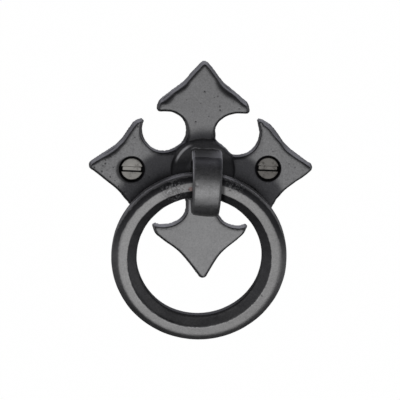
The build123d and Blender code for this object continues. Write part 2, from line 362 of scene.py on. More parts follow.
# The ring's colour holds painted light and shade: painted shade higher up, on the inner slope, on the outer one
# higher up and at the left, under the eye, beside it and on the lower bore wall, and painted highlights along the
# upper outer rim and the bore's edge. It is lighter at the left. Beside the eye it is rough and scuffed. Distances
# are from the ring's centre as seen from the front.
ringLightAndWear = {
    "leftToRight": (-20 * mm, 20 * mm),
    "upper": (-22 * mm, -10 * mm),
    "upperLowerOnRight": 2.5 * mm,
    "brightness": 1.07,
    "lessAbove": 0.1,
    "rag": (1.2 * mm, 4.0, 0.7),
    "ragWidth": 0.7 * mm,
    "roundFromFront": (1, 0, 1.017),
    "centre": (-0.36 * mm, 0, -22.78 * mm),
    "lowerLeft": [(6 * mm, -8 * mm), (-24 * mm, -34 * mm)],
    "creaseOnLowerLeft": 0.25 * mm,
    "inside": (18.4 * mm, 18.15 * mm),
    "insideShare": 0.77,
    "boreEdge": (16.4 * mm, 15.9 * mm, 0.1),
    "onRight": (-15 * mm, 15 * mm),
    "onLeft": (5 * mm, -15 * mm),
    "outsideShift": {"all": 0.2 * mm, "right": 0.5 * mm, "left": 1.0 * mm},
    "outside": (20.1 * mm, 20.5 * mm),
    "outsideShare": {"all": 0.3, "upper": 0.62, "left": 0.25},
    "rim": (21.5 * mm, 21.9 * mm),
    "rimShare": 0.9,
    "outsideFacing": (0.2, 0.45),
    "least": 0.7,
    "underEye": (-1.5 * mm, -6 * mm, 0.3),
    "mottle": (0.5 * mm, 2.0, 0.7),
    "mottleFrom": (0.45, 0.75),
    "roughLeft": ((-6.8 * mm, -12 * mm, -4.6 * mm), 4.2 * mm, 1.5 * mm),
    "roughRight": ((8.6 * mm, -11.5 * mm, -2.6 * mm), 3.6 * mm, 1.2 * mm, 0.7),
    "roughDark": 0.45,
    "roughPale": 0.5,
    "boreWall": (0.2, 0.6),
    "boreWallFacing": (0.8, 0.5),
    "boreWallHeight": (-24 * mm, -31 * mm, 0.9),
    "besideEye": (5.3 * mm, 1.0 * mm),
    "besideEyeHeight": (-9 * mm, -7 * mm, 0.75),
}


def ringTones(place):
    across = place.part("X")
    height = place.part("Z")
    fromLeft = across.ramp(*ringLightAndWear["leftToRight"])
    # painted shade higher up; lighter at the left
    upper = (height + fromLeft * ringLightAndWear["upperLowerOnRight"]).ramp(*ringLightAndWear["upper"])
    litColour = fromLeft.blend(iron["ringLeftColour"], iron["ringColour"])
    litColour = (ringLightAndWear["brightness"] - upper * ringLightAndWear["lessAbove"]).tint(litColour)
    ragged = (place.speckle(*ringLightAndWear["rag"]) - 0.5) * ringLightAndWear["ragWidth"]
    outwards = place.flat(ringLightAndWear["roundFromFront"]).distanceTo(ringLightAndWear["centre"]) + ragged
    lowerAcross, lowerHeight = ringLightAndWear["lowerLeft"]
    lowerLeft = across.ramp(*lowerAcross) * height.ramp(*lowerHeight)
    crease = outwards - lowerLeft * ringLightAndWear["creaseOnLowerLeft"]
    # painted shade on the inner slope, lifted in a thin painted highlight at the bore's edge
    inner = crease.ramp(*ringLightAndWear["inside"]) * (ringLightAndWear["insideShare"] - outwards.ramp(*ringLightAndWear["boreEdge"]))
    facing = place.normal().part("Y") * -1.0
    onRight = across.ramp(*ringLightAndWear["onRight"]) * (1 - upper)
    onLeft = across.ramp(*ringLightAndWear["onLeft"]) * (1 - upper)
    shift = ringLightAndWear["outsideShift"]
    # painted shade on the outer slope, higher up and at the left, lifted along the upper rim as a painted
    # highlight
    shifted = outwards - onRight * shift["right"] - onLeft * upper * shift["left"] - shift["all"]
    share = ringLightAndWear["outsideShare"]
    outer = shifted.ramp(*ringLightAndWear["outside"]) * (share["all"] + upper * share["upper"] + onLeft * share["left"])
    outer = outer - shifted.ramp(*ringLightAndWear["rim"]) * upper * ringLightAndWear["rimShare"]
    outer = outer * facing.ramp(*ringLightAndWear["outsideFacing"])
    # painted shade under the eye
    paintedLight = height.ramp(*ringLightAndWear["underEye"]) + ringLightAndWear["least"] - inner - outer
    mottle = place.speckle(*ringLightAndWear["mottle"]).ramp(*ringLightAndWear["mottleFrom"])
    near = place.around(*ringLightAndWear["roughLeft"]).most(place.around(*ringLightAndWear["roughRight"]))
    # painted shade on the lower bore wall and on the ring beside the eye; the dark and pale mottle of the rough
    # spots is the ring's own
    boreWall = inner.ramp(*ringLightAndWear["boreWall"]) * facing.ramp(*ringLightAndWear["boreWallFacing"])
    boreWall = boreWall * height.ramp(*ringLightAndWear["boreWallHeight"])
    besideEye = across.band(*ringLightAndWear["besideEye"]) * height.ramp(*ringLightAndWear["besideEyeHeight"])
    shadeAndSpecks = (near * (1 - mottle) * ringLightAndWear["roughDark"]).most(boreWall).most(besideEye)
    return paintedLight, litColour, iron["dark"], shadeAndSpecks, near * mottle * ringLightAndWear["roughPale"]


def ironMaterial(name, tones):
    material, shader, place = newMaterial(name)
    paintedLight, litColour, dark, shadeAndSpecks, scuffAndHighlight = tones(place)
    grain = place.speckle(*iron["grain"])
    fine = place.speckle(*iron["fineGrain"])
    blotch = place.speckle(*iron["blotch"])
    pores = place.speckle(*iron["pores"]).ramp(*iron["poresFrom"])
    # painted light and shade: the lit share from the tones, with random blotches, runs the colour from the dark
    # end in painted shade to the lit colour
    paintedLightAndBlotch = paintedLight * iron["paintedLightShare"] + (blotch - 0.5) * iron["wearFromBlotch"]
    colour = paintedLightAndBlotch.ramp(*iron["paintedLightAndBlotch"]).blend(dark, litColour)
    shade = 1 + (grain - 0.5) * iron["mottle"] + (fine - 0.5) * iron["mottle"]
    colour = shade.tint(colour)
    colour = (pores * iron["poresDark"]).blend(colour, iron["dark"])
    # painted shade, dark specks and the eye's dark streaks, blended towards near black
    colour = shadeAndSpecks.blend(colour, iron["shadeAndSpeckColour"])
    # painted highlights and scuffed spots, blended towards pale grey
    colour = scuffAndHighlight.blend(colour, iron["scuffAndHighlight"])
    for centre, size in iron["rustSpots"]:
        colour = place.around(centre, size * 1.3, size * 0.5, iron["rustShare"]).blend(colour, iron["rust"])
    rougher = iron["roughnessFrom"]
    rough = iron["roughness"] + (blotch - 0.5) * rougher["blotch"] + (grain - 0.5) * rougher["grain"]
    rough = rough + pores * rougher["pores"] + scuffAndHighlight * rougher["scuffsAndHighlights"]
    metal = iron["metallic"] - scuffAndHighlight * iron["metallicLostToScuffsAndHighlights"]
    bumps = iron["bumps"]
    height = grain * bumps["grain"] + place.speckle(*iron["lumps"]) * bumps["lumps"] - pores * bumps["pores"]
    colour.feed(shader.inputs["Base Color"])
    rough.feed(shader.inputs["Roughness"])
    metal.feed(shader.inputs["Metallic"])
    place.bump(height, iron["bumpDepth"]).feed(shader.inputs["Normal"])
    return material


# Darkened steel of the screw heads: a little warmer and smoother than the iron, darker on the right one
# and in the lower halves, with a painted shadow along the lower edge of each slot
steel = {
    "base": (0.235, 0.228, 0.215, 1),
    "darkerTone": (0.07, 0.065, 0.06, 1),
    "slotShadow": (0.01, 0.01, 0.01, 1),
    "metallic": 0.95,
    "roughness": 0.34,
    "roughnessFromBlotch": 0.25,
    "grain": (0.3 * mm, 2.0, 0.5),
    "blotch": (1.6 * mm, 3.0, 0.6),
    "grainInDarker": 0.4,
    "darkerFrom": (0.5, 0.74, 0.5),
    "darkerOnRight": 0.56,
    "darkerBelow": 0.2,
    "bumpDepth": 0.012 * mm,
    "slotEdge": -0.62 * mm,
    "slotSlope": 0.0437,
    "belowSlot": (0.1 * mm, -0.1 * mm),
    "slotShadowLine": [(-0.2 * mm, -0.05 * mm), (0.36 * mm, 0.2 * mm)],
}


def steelMaterial():
    material, shader, place = newMaterial("darkSteel")
    grain = place.speckle(*steel["grain"])
    blotch = place.speckle(*steel["blotch"])
    across = place.part("X")
    onRight = across.ramp(-1 * mm, 1 * mm)
    fromAxis = across - (onRight - 0.5) * (2 * screwX)
    fromSlot = place.part("Z") + fromAxis * steel["slotSlope"] - steel["slotEdge"]
    # darker in random blotches, on the right screw and below the slot
    darkerTone = (blotch + (grain - 0.5) * steel["grainInDarker"]).ramp(*steel["darkerFrom"])
    darkerTone = darkerTone + onRight * steel["darkerOnRight"] + fromSlot.ramp(*steel["belowSlot"]) * steel["darkerBelow"]
    colour = darkerTone.blend(steel["base"], steel["darkerTone"])
    # painted shadow along the lower edge of the slot
    lineBelow, lineAbove = steel["slotShadowLine"]
    colour = (fromSlot.ramp(*lineBelow) * fromSlot.ramp(*lineAbove)).blend(colour, steel["slotShadow"])
    rough = steel["roughness"] + (blotch - 0.5) * steel["roughnessFromBlotch"]
    colour.feed(shader.inputs["Base Color"])
    rough.feed(shader.inputs["Roughness"])
    place.bump(grain + blotch, steel["bumpDepth"]).feed(shader.inputs["Normal"])
    shader.inputs["Metallic"].default_value = steel["metallic"]
    return material


castIron = ironMaterial("castIron", plateTones)
eyeIron = ironMaterial("eyeIron", eyeTones)
ringIron = ironMaterial("ringIron", ringTones)
darkSteel = steelMaterial()
print("materials made")


def selectOnly(piece):
    bpy.ops.object.select_all(action="DESELECT")
    bpy.context.view_layer.objects.active = piece
    piece.select_set(True)


def applyModifier(piece, kind, **settings):
    selectOnly(piece)
    modifier = piece.modifiers.new("step", kind)
    for name, setting in settings.items():
        setattr(modifier, name, setting)
    bpy.ops.object.modifier_apply(modifier="step")


def remesh(piece, voxel):
    applyModifier(piece, "REMESH", mode="VOXEL", voxel_size=voxel, use_smooth_shade=True)


# Puts a new primitive's place into its mesh
def settle():
    bpy.ops.object.transform_apply(location=True, rotation=True, scale=True)


# A copy of a CAD node's mesh with its loose triangles joined
def copyOfNode(node, name):
    piece = bpy.data.objects.new(name, frame["nodes"][node].data.copy())
    bpy.context.scene.collection.objects.link(piece)
    selectOnly(piece)
    bpy.ops.object.mode_set(mode="EDIT")
    bpy.ops.mesh.select_all(action="SELECT")
    bpy.ops.mesh.remove_doubles(threshold=2 * hair)
    bpy.ops.mesh.dissolve_degenerate(threshold=2 * hair)
    bpy.ops.object.mode_set(mode="OBJECT")
    return piece


# Smooths a piece, each vertex by the share that the rule gives for its place
def soften(piece, rule, repeat):
    group = piece.vertex_groups.new(name="soft")
    for vertex in piece.data.vertices:
        group.add([vertex.index], max(0.0, min(1.0, rule(vertex.co))), "REPLACE")
    applyModifier(piece, "SMOOTH", factor=0.5, iterations=repeat, vertex_group="soft")
    piece.vertex_groups.clear()


# Moves every vertex along its normal by what the rule gives
def dress(piece, rule):
    moves = [vertex.normal * rule(vertex.co, vertex.normal) for vertex in piece.data.vertices]
    for vertex, move in zip(piece.data.vertices, moves):
        vertex.co += move
    piece.data.update()


def ease(value, start, end):
    share = max(0.0, min(1.0, (value - start) / (end - start)))
    return share * share * (3 - 2 * share)


# 1 in the core of a spot and 0 beyond its reach, which is in mm
def within(away, reach, core):
    return 1 - ease(away, core * reach * mm, reach * mm)


# Long and short waves of a cast surface: depth, the two lengths and the short ones' share
def waves(place, depth, longWave, shortWave, share):
    return noise.noise(place / longWave) * depth + noise.noise(place / shortWave) * depth * share


# How deep the small casting pits go at a place: x, y, z, size and depth in mm
def pitDepth(place, pits):
    depth = 0.0
    for x, y, z, size, deep in pits:
        depth += deep * mm * within((place - Vector((x, y, z)) * mm).length, size, 0.2)
    return depth


def finishPiece(piece, material, body, node):
    selectOnly(piece)
    bpy.ops.object.shade_smooth()
    piece.data.materials.clear()
    piece.data.materials.append(material)
    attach(piece, body)
    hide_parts(node)
    print(piece.name, "made,", len(piece.data.polygons), "faces")


# The cross-shaped plate. Its casting is a little wavy, and its face rolls over into the edge. Where the
# outline grows, and where the roll is rounder or has a wider ledge: x, z, reach and extra, in mm. Notches:
# x and z in mm, how far upwards the wall has to look to stand steeper, and how much steeper.
plate = {
    "voxel": 0.21 * mm,
    "face": -3.2 * mm,
    "front": (-1.8 * mm, -0.9 * mm),         # softened in front of the first depth, kept behind the second
    "softRounds": 7,
    "lastSoftening": 0.6,
    "bossRadius": 8.1 * mm,
    "bossStart": -4 * mm,
    "screwClear": 4 * mm,                    # the countersinks stay as they are
    "outline": {"depth": -1.4 * mm, "band": 0.25 * mm, "bossClear": 0.3 * mm},
    "roll": 0.85 * mm,
    "rollNoise": 0.25 * mm,
    "rollNoiseSize": 4 * mm,
    "rollSky": (-0.5, 0.3),                  # rounder where the edge looks up, half as round where down
    "rollBehindFace": 2.2 * mm,
    "rollMore": [
        (-8.0, 17.6, 2.6, 1.1), (-5.0, 20.6, 3.5, 0.7), (5.5, 19.5, 4.5, 1.1), (9.5, 16.5, 3.5, 0.5),
        (-22.3, 3.9, 3.0, 0.9), (-20.0, 6.5, 2.5, 0.4),
    ],
    "ledge": 0.25 * mm,
    "ledgeSky": (0.0, 0.6),
    "ledgeSlope": 2.5,
    "ledgeFoot": 1.85 * mm,
    "lowest": 1.9 * mm,
    "ledgeMoreSky": (0.0, 0.4),
    "ledgeMore": [
        (19.5, 10.5, 4.5, 0.45), (24.5, 4.8, 4.5, 0.3), (16.3, 12.8, 2.5, 0.25), (-19.0, 10.0, 4.5, 0.2),
        (-23.5, 4.5, 4.0, 0.12), (12.0, 17.5, 3.0, 0.15),
    ],
    "nearBoss": 1.2 * mm,
    "notches": [(-9.2, 10.4, 0.1, 0.34), (9.55, 9.6, -0.45, 0.34), (-9.2, -9.4, 0.1, 0.2), (9.6, -9.4, 0.0, 0.2)],
    "notchTurn": 0.65,
    "notchOutline": (6.2 * mm, 7.4 * mm),
    "notchWall": (6.4 * mm, 7.6 * mm),
    "notchDepth": (1.0 * mm, 2.8 * mm),
    "notchLessRoll": 0.6,
    "notchMoreOnLeft": 0.4,
    "growth": 0.11 * mm,
    "growMore": [
        (-13.6, 12.8, 1.9, 0.6), (-14.8, 13.5, 1.4, 0.4), (-16.4, 13.2, 1.2, -0.06), (-14.6, 11.0, 1.8, -0.1),
        (-14.0, 7.6, 2.4, 0.08), (-10.5, 5.1, 3.0, -0.1), (-6.2, 6.0, 2.8, 0.2), (-3.6, 10.9, 2.5, 0.06),
        (-9.2, 14.9, 2.4, 0.16), (-9.6, 18.5, 3.0, -0.08), (-2.2, 25.3, 2.4, 0.1), (0.6, 27.4, 2.0, 0.05),
        (3.6, 25.4, 2.4, 0.1), (9.0, 20.0, 4.0, 0.08), (12.6, 15.9, 2.2, 0.1), (10.5, 14.2, 2.4, -0.1),
        (4.6, 11.0, 2.0, -0.08), (4.0, 8.0, 1.9, 0.2), (5.2, 6.9, 1.9, -0.38), (6.9, 5.2, 2.4, -0.38),
        (14.3, 7.4, 2.4, 0.08), (15.2, 9.8, 1.8, -0.1), (14.2, 13.2, 1.9, 0.8), (20.4, 9.3, 2.8, 0.08),
        (18.0, 11.9, 2.4, -0.08), (13.4, 5.9, 2.4, 0.1), (-4.2, 12.4, 2.2, -0.12), (-4.2, 8.2, 2.4, 0.12),
        (-4.8, -12.2, 2.0, -0.12), (-0.9, 26.8, 1.8, 0.12), (28.6, 0.3, 1.8, 0.14), (26.2, -1.8, 2.4, 0.14),
        (-22.5, -4.0, 4.0, 0.06), (-27.9, 0.5, 1.5, 0.1), (-17.6, -9.3, 2.6, -0.2), (18.9, -9.0, 2.4, -0.25),
        (-3.5, -9.7, 2.6, -0.42), (-7.6, -13.6, 2.6, 0.14), (5.2, -11.8, 2.4, 0.15), (-12.6, -14.3, 1.5, 0.5),
        (12.2, -14.7, 1.4, 0.3), (10.5, -16.9, 2.2, -0.12), (-9.2, -17.4, 4.0, 0.18), (-2.7, -24.3, 3.2, -0.08),
        (4.6, -22.0, 3.2, 0.07), (0.7, -28.3, 1.5, 0.08),
    ],
    "wave": (0.05 * mm, 6 * mm, 1.7 * mm, 0.22),
    "coveReach": 2.4 * mm,
    "coveHeight": 0.15 * mm,
    "coveBand": (0.1 * mm, 0.3 * mm),
    "seat": (1.6 * mm, -1.2 * mm, 4.3 * mm, 7.0 * mm),
    "seatFade": (1.0, 1.15),
    "pits": [
        (1.2, -3.2, 19.8, 0.45, 0.08),
        (5.0, -3.2, 16.0, 0.4, 0.06),
        (5.1, -3.2, 15.0, 0.4, 0.07),
        (9.9, -3.2, 15.3, 0.4, 0.05),
        (-1.1, -3.2, 12.1, 0.45, 0.07),
        (-27.0, -3.2, -0.1, 0.4, 0.06),
        (-24.3, -3.2, 0.7, 0.4, 0.06),
        (-25.3, -3.2, -1.2, 0.4, 0.06),
    ],
}


# How far a place is outside the boss, and from the nearer screw's axis, as seen from the front
def outsideBoss(place):
    return math.hypot(place.x - bossCentre[0], place.z - bossCentre[2]) - plate["bossRadius"]


def fromScrew(place):
    return math.hypot(abs(place.x) - screwX, place.z)


# The wall's line halfway up, which the roll follows
def plateOutline(piece):
    outline = plate["outline"]
    rim = []
    for vertex in piece.data.vertices:
        place = vertex.co
        onWall = abs(vertex.normal.y) < 0.5 and abs(place.y - outline["depth"]) < outline["band"]
        if onWall and outsideBoss(place) > outline["bossClear"] and fromScrew(place) > plate["screwClear"]:
            rim.append(Vector((place.x, 0, place.z)))
    tree = KDTree(len(rim))
    for number, place in enumerate(rim):
        tree.insert(place, number)
    tree.balance()
    return tree


# Lowers the face towards its outline along an arc. The boss and the countersinks stay as they are.
def rollFace(piece):
    tree = plateOutline(piece)
    face = plate["face"]
    for vertex in piece.data.vertices:
        place = vertex.co
        if place.y > face + plate["rollBehindFace"]:
            continue
        flat = Vector((place.x, 0, place.z))
        nearest, _, away = tree.find(flat)
        upwards = (nearest.z - flat.z) / max(away, 10 * hair)
        lookingUp = ease(upwards, *plate["rollSky"])
        clearOfBoss = ease(outsideBoss(place), 0.0, plate["nearBoss"])
        radius = plate["roll"] * (0.5 + 0.5 * lookingUp)
        radius += noise.noise(flat / plate["rollNoiseSize"]) * plate["rollNoise"] * lookingUp
        for x, z, reach, extra in plate["rollMore"]:
            radius += extra * mm * within((flat - Vector((x, 0, z)) * mm).length, reach, 0.3)
        radius *= clearOfBoss
        ledge = plate["ledge"] * ease(upwards, *plate["ledgeSky"]) * clearOfBoss
        inNotch = 0.0
        for x, z, turn, _ in plate["notches"]:
            near = 1 - ease(math.hypot(x * mm - nearest.x, z * mm - nearest.z), *plate["notchOutline"])
            inNotch = max(inNotch, near * ease(upwards, turn, turn + plate["notchTurn"]))
        radius *= 1 - plate["notchLessRoll"] * inNotch
        ledge *= 1 - inNotch
        for x, z, reach, extra in plate["ledgeMore"]:
            more = within((flat - Vector((x, 0, z)) * mm).length, reach, 0.4)
            more *= (1 - inNotch) * ease(upwards, *plate["ledgeMoreSky"])
            ledge += extra * mm * more
            radius *= 1 - 0.5 * more * min(1.0, extra * 3)
        if away < radius + ledge:
            inside = max(0.0, away - ledge) / radius
            lowered = face + radius * (1 - math.sqrt(max(0.0, 1 - (1 - inside) ** 2)))
            slope = min(plate["ledgeSlope"], (plate["ledgeFoot"] - radius) / max(ledge, 0.1 * mm))
            lowered += slope * max(0.0, ledge - away)
            place.y = max(place.y, min(lowered, face + plate["lowest"]))


def plateFront(place):
    return 1 - ease(place.y, *plate["front"])


# The socket round the eye keeps its crisp rim, so that no gap opens between the two
def softFront(place):
    seatX, seatZ, seatAcross, seatUp = plate["seat"]
    outside = max(abs(place.x - seatX) / seatAcross, abs(place.z - seatZ) / seatUp)
    return plateFront(place) * (1.0 if place.y > plate["bossStart"] else ease(outside, *plate["seatFade"]))


# How far the wall stands out, more so in the notches where it looks up or to the left
def plateGrowth(place, normal):
    if fromScrew(place) <= plate["screwClear"] or abs(normal.y) >= 0.75:
        return 0.0
    growth = plate["growth"]
    for x, z, reach, extra in plate["growMore"]:
        growth += extra * mm * within(math.hypot(place.x - x * mm, place.z - z * mm), reach, 0.3)
    wallStart, wallEnd = plate["notchWall"]
    for x, z, turn, lean in plate["notches"]:
        towards = Vector((x * mm - place.x, 0, z * mm - place.z))
        if towards.length < wallEnd and towards.dot(normal) > 0:
            steeper = ease(normal.z, turn, turn + plate["notchTurn"])
            steeper *= (1 + plate["notchMoreOnLeft"] * max(0.0, -normal.x)) * lean * mm
            steeper *= 1 - ease(towards.length, wallStart, wallEnd)
            growth += steeper * ease(-place.y, *plate["notchDepth"])
    return growth * (1 - abs(normal.y)) * softFront(Vector((place.x, plate["face"], place.z)))


def plateSurface(place, normal):
    facing = max(0.0, -normal.y)
    onFace = facing ** 8 * (1 - ease(abs(place.y - plate["face"]), *plate["coveBand"]))
    cove = 0.0
    if outsideBoss(place) > 0:
        cove = plate["coveHeight"] * (1 - min(1.0, outsideBoss(place) / plate["coveReach"])) ** 2
    wave = waves(place, *plate["wave"]) * plateFront(place) * facing
    return wave + cove * onFace - pitDepth(place, plate["pits"]) * facing + plateGrowth(place, normal)


def platePiece():
    piece = copyOfNode("backplate", "plateCasting")
    remesh(piece, plate["voxel"])
    rollFace(piece)
    remesh(piece, plate["voxel"])
    soften(piece, softFront, plate["softRounds"])
    dress(piece, plateSurface)
    soften(piece, lambda place: softFront(place) * plate["lastSoftening"], 1)
    finishPiece(piece, castIron, "plate", "backplate")


platePiece()


# The eye, a wide round lug. It keeps the CAD's form, with its edges softened and a few tool marks.
eye = {
    "voxel": 0.15 * mm,
    "softRounds": 4,
    "front": (-4.2 * mm, -3.4 * mm),         # softened in front of the first depth, kept behind the second
    "seatGrowth": 0.09 * mm,
    "seatDepth": [(-6.6 * mm, -6.1 * mm), (4.4 * mm, 4.6 * mm)],
    "belly": 0.4 * mm,                       # how far the underside hangs lower in front
    "bellyMiddle": 1.6 * mm,
    "bellyHalf": 3.9 * mm,
    "bellyDown": (9.2 * mm, 11 * mm),
    "bellyForward": (9 * mm, 12 * mm),
    "wave": (0.04 * mm, 4.5 * mm, 1.3 * mm, 0.3),
    "pits": [
        (-1.9, -16.9, -2.2, 0.7, 0.12),
        (-1.2, -17.0, -2.4, 0.6, 0.1),
        (4.6, -14.9, 2.6, 0.5, 0.1),
        (3.9, -15.4, 2.0, 0.45, 0.1),
        (3.3, -15.9, 1.4, 0.45, 0.08),
    ],
}


def eyeFront(place):
    return 1 - ease(place.y, *eye["front"])


def eyeSurface(place, normal):
    seatFront, seatBack = eye["seatDepth"]
    seated = eye["seatGrowth"] * ease(place.y, *seatFront) * ease(-place.y, *seatBack)
    across = (place.x - eye["bellyMiddle"]) / eye["bellyHalf"]
    belly = eye["belly"] * max(0.0, 1 - across * across) * ease(-place.z, *eye["bellyDown"])
    belly *= ease(-place.y, *eye["bellyForward"]) * max(0.0, -normal.z)
    return (waves(place, *eye["wave"]) - pitDepth(place, eye["pits"])) * eyeFront(place) + seated + belly


def eyePiece():
    piece = copyOfNode("ring_eye", "eyeCasting")
    remesh(piece, eye["voxel"])
    soften(piece, eyeFront, eye["softRounds"])
    dress(piece, eyeSurface)
    finishPiece(piece, eyeIron, "plate", "ring_eye")


eyePiece()


# The closed ring, drawn as a section and spun about its axis. The section is in mm, out from the ring's
# mean radius and up from its mid plane, and each corner has its rounding in mm and the steps for it. The
# crease on the face is crisp and wanders a little. Where the bore or the outside differs: the direction
# from the centre, where that starts and is full, and how much, in mm.
ring = {
    "radius": 19.03 * mm,
    "drop": 0.08 * mm,
    "shift": 0.79 * mm,
    "tilt": 10.52,
    "section": [(-3.28, 1.15), (-0.8, 2.7), (1.55, 2.62), (2.8, 1.75), (3.24, 1.1)],
    "rounding": [(0.35, 7), (0.07, 3), (0.5, 7), (0.5, 7), (0.3, 7)],
    "steps": 300,
    "voxel": 0.2 * mm,
    "wave": (0.05 * mm, 5 * mm, 1.4 * mm, 0.3),
    "creaseWander": 0.1 * mm,
    "wanderTurns": 3.0,
    "roughSpot": (-7.0 * mm, -9.0 * mm, -4.6 * mm),
    "roughReach": (1.5 * mm, 4 * mm),
    "roughGrain": 0.55 * mm,
    "roughDepth": 0.09 * mm,
    "boreUpperRight": ((0.6, 0, 0.8), 0.2 * mm),
    "bore": [
        ((-0.6, 0, 0.8), 0.6, 0.95, 0.18),
        ((-0.75, 0, -0.66), 0.5, 0.95, 0.12),
        ((0.2, 0, -0.98), 0.7, 1.0, -0.06),
    ],
    "rimBelow": 0.08 * mm,
    "creaseLowerLeft": ((-0.6, 0, -0.8), 0.5, 0.95, 0.12),
    "rimRight": ((0.95, 0, 0.3), 0.85, 1.0, 0.06),
}


def ringAxes():
    joint = frame["joints"][0]
    hinge = Vector(joint["pos_m"])
    across = -Vector(joint["axis"]).normalized()
    up = Vector((-across.z, 0, across.x))
    forward = Vector((0, -1, 0))
    tilt = math.radians(ring["tilt"])
    down = forward * -math.sin(tilt) - up * math.cos(tilt)
    front = forward * math.cos(tilt) - up * math.sin(tilt)
    centre = hinge + down * (ring["radius"] - ring["drop"]) - across * ring["shift"]
    return centre, down, front


def ringPiece():
    centre, down, front = ringAxes()
    halves = ring["section"] + [(out, -rise) for out, rise in reversed(ring["section"])]
    points = [centre + down * (ring["radius"] + out * mm) + front * rise * mm for out, rise in halves]
    bpy.ops.object.select_all(action="DESELECT")
    bpy.ops.mesh.primitive_circle_add(vertices=len(points), radius=3 * mm)
    piece = bpy.context.active_object
    piece.name = "ringCasting"
    for vertex, point in zip(piece.data.vertices, points):
        vertex.co = piece.matrix_world.inverted() @ point
    settle()
    # the corners are rounded one pair at a time, each by its own amount
    for corner, (size, steps) in enumerate(ring["rounding"]):
        bpy.ops.object.mode_set(mode="EDIT")
        bpy.ops.mesh.select_all(action="DESELECT")
        bpy.ops.object.mode_set(mode="OBJECT")
        for vertex in piece.data.vertices:
            twins = (points[corner], points[-1 - corner])
            vertex.select = min((vertex.co - twin).length for twin in twins) < hair
        bpy.ops.object.mode_set(mode="EDIT")
        bpy.ops.mesh.select_mode(type="VERT")
        bpy.ops.mesh.bevel(offset=size * mm, segments=steps, affect="VERTICES", clamp_overlap=False)
        bpy.ops.object.mode_set(mode="OBJECT")
    bpy.ops.object.mode_set(mode="EDIT")
    bpy.ops.mesh.select_all(action="SELECT")
    bpy.ops.mesh.spin(steps=ring["steps"], angle=math.tau, center=centre, axis=front)
    bpy.ops.mesh.select_all(action="SELECT")
    bpy.ops.mesh.remove_doubles(threshold=5 * hair)
    bpy.ops.mesh.normals_make_consistent(inside=False)
    bpy.ops.object.mode_set(mode="OBJECT")
    remesh(piece, ring["voxel"])
    return piece


def towards(radial, direction, start, end, extra):
    return ease(radial.dot(Vector(direction)), start, end) * extra * mm


def ringSurface(piece):
    centre, _, front = ringAxes()
    roughSpot = Vector(ring["roughSpot"])
    upperRight, upperRightExtra = ring["boreUpperRight"]

    def surface(place, normal):
        arm = place - centre
        radial = (arm - front * arm.dot(front)).normalized()
        outwards = max(0.0, normal.dot(radial))
        inwards = max(0.0, -normal.dot(radial))
        onInnerFace = inwards * max(0.0, normal.dot(front)) * 2
        angle = radial * ring["wanderTurns"]
        wander = noise.noise(angle * 2.0) * 0.7 + noise.noise(angle * 6.0) * 0.3
        crease = wander * ring["creaseWander"] - towards(radial, *ring["creaseLowerLeft"])
        near = 1 - ease((place - roughSpot).length, *ring["roughReach"])
        rough = near * (noise.noise(place / ring["roughGrain"]) * ring["roughDepth"])
        bore = max(0.0, radial.dot(Vector(upperRight))) * upperRightExtra
        for row in ring["bore"]:
            bore += towards(radial, *row)
        rim = outwards * max(0.0, -radial.z) * ring["rimBelow"]
        right = towards(radial, *ring["rimRight"]) * outwards
        return waves(place, *ring["wave"]) + crease * onInnerFace + rough - bore * inwards + rim - right

    dress(piece, surface)
    finishPiece(piece, ringIron, "ring", "pull_ring")


ringSurface(ringPiece())


# A slotted countersunk wood screw, turned as a profile, then slotted and threaded. Depths are on the Y
# axis and run into the door. The ridge is given as its rise along the screw.
screw = {
    "face": -2.7 * mm,
    "crown": 0.05 * mm,
    "crownRadius": 1.4 * mm,
    "flatRadius": 2.68 * mm,
    "headRadius": 2.8 * mm,
    "headEdge": [(0.01 * mm, 0.06 * mm), (0.06 * mm, 0.2 * mm)],     # in from the radius, behind the face
    "neckRadius": 1.6 * mm,
    "shankRadius": 1.45 * mm,
    "rootRadius": 1.05 * mm,
    "rootTaper": 0.4 * mm,
    "tipRadius": 0.15 * mm,
    "plainEnd": 4.3 * mm,
    "pointStart": 13.1 * mm,
    "end": 16.3 * mm,
    "sides": 72,
    "slotLength": 9 * mm,
    "slotWidth": 1.2 * mm,
    "slotDepth": 0.42 * mm,
    "slotTurn": -2.5,
    "pitch": 1.15 * mm,
    "threadSteps": 40,
    "ridgeUnderRoot": 0.25 * mm,
    "ridge": (0.42 * mm, 0.5 * mm, 0.9 * mm),
    "ridgeRunIn": 2 * mm,
    "voxel": 0.085 * mm,
}


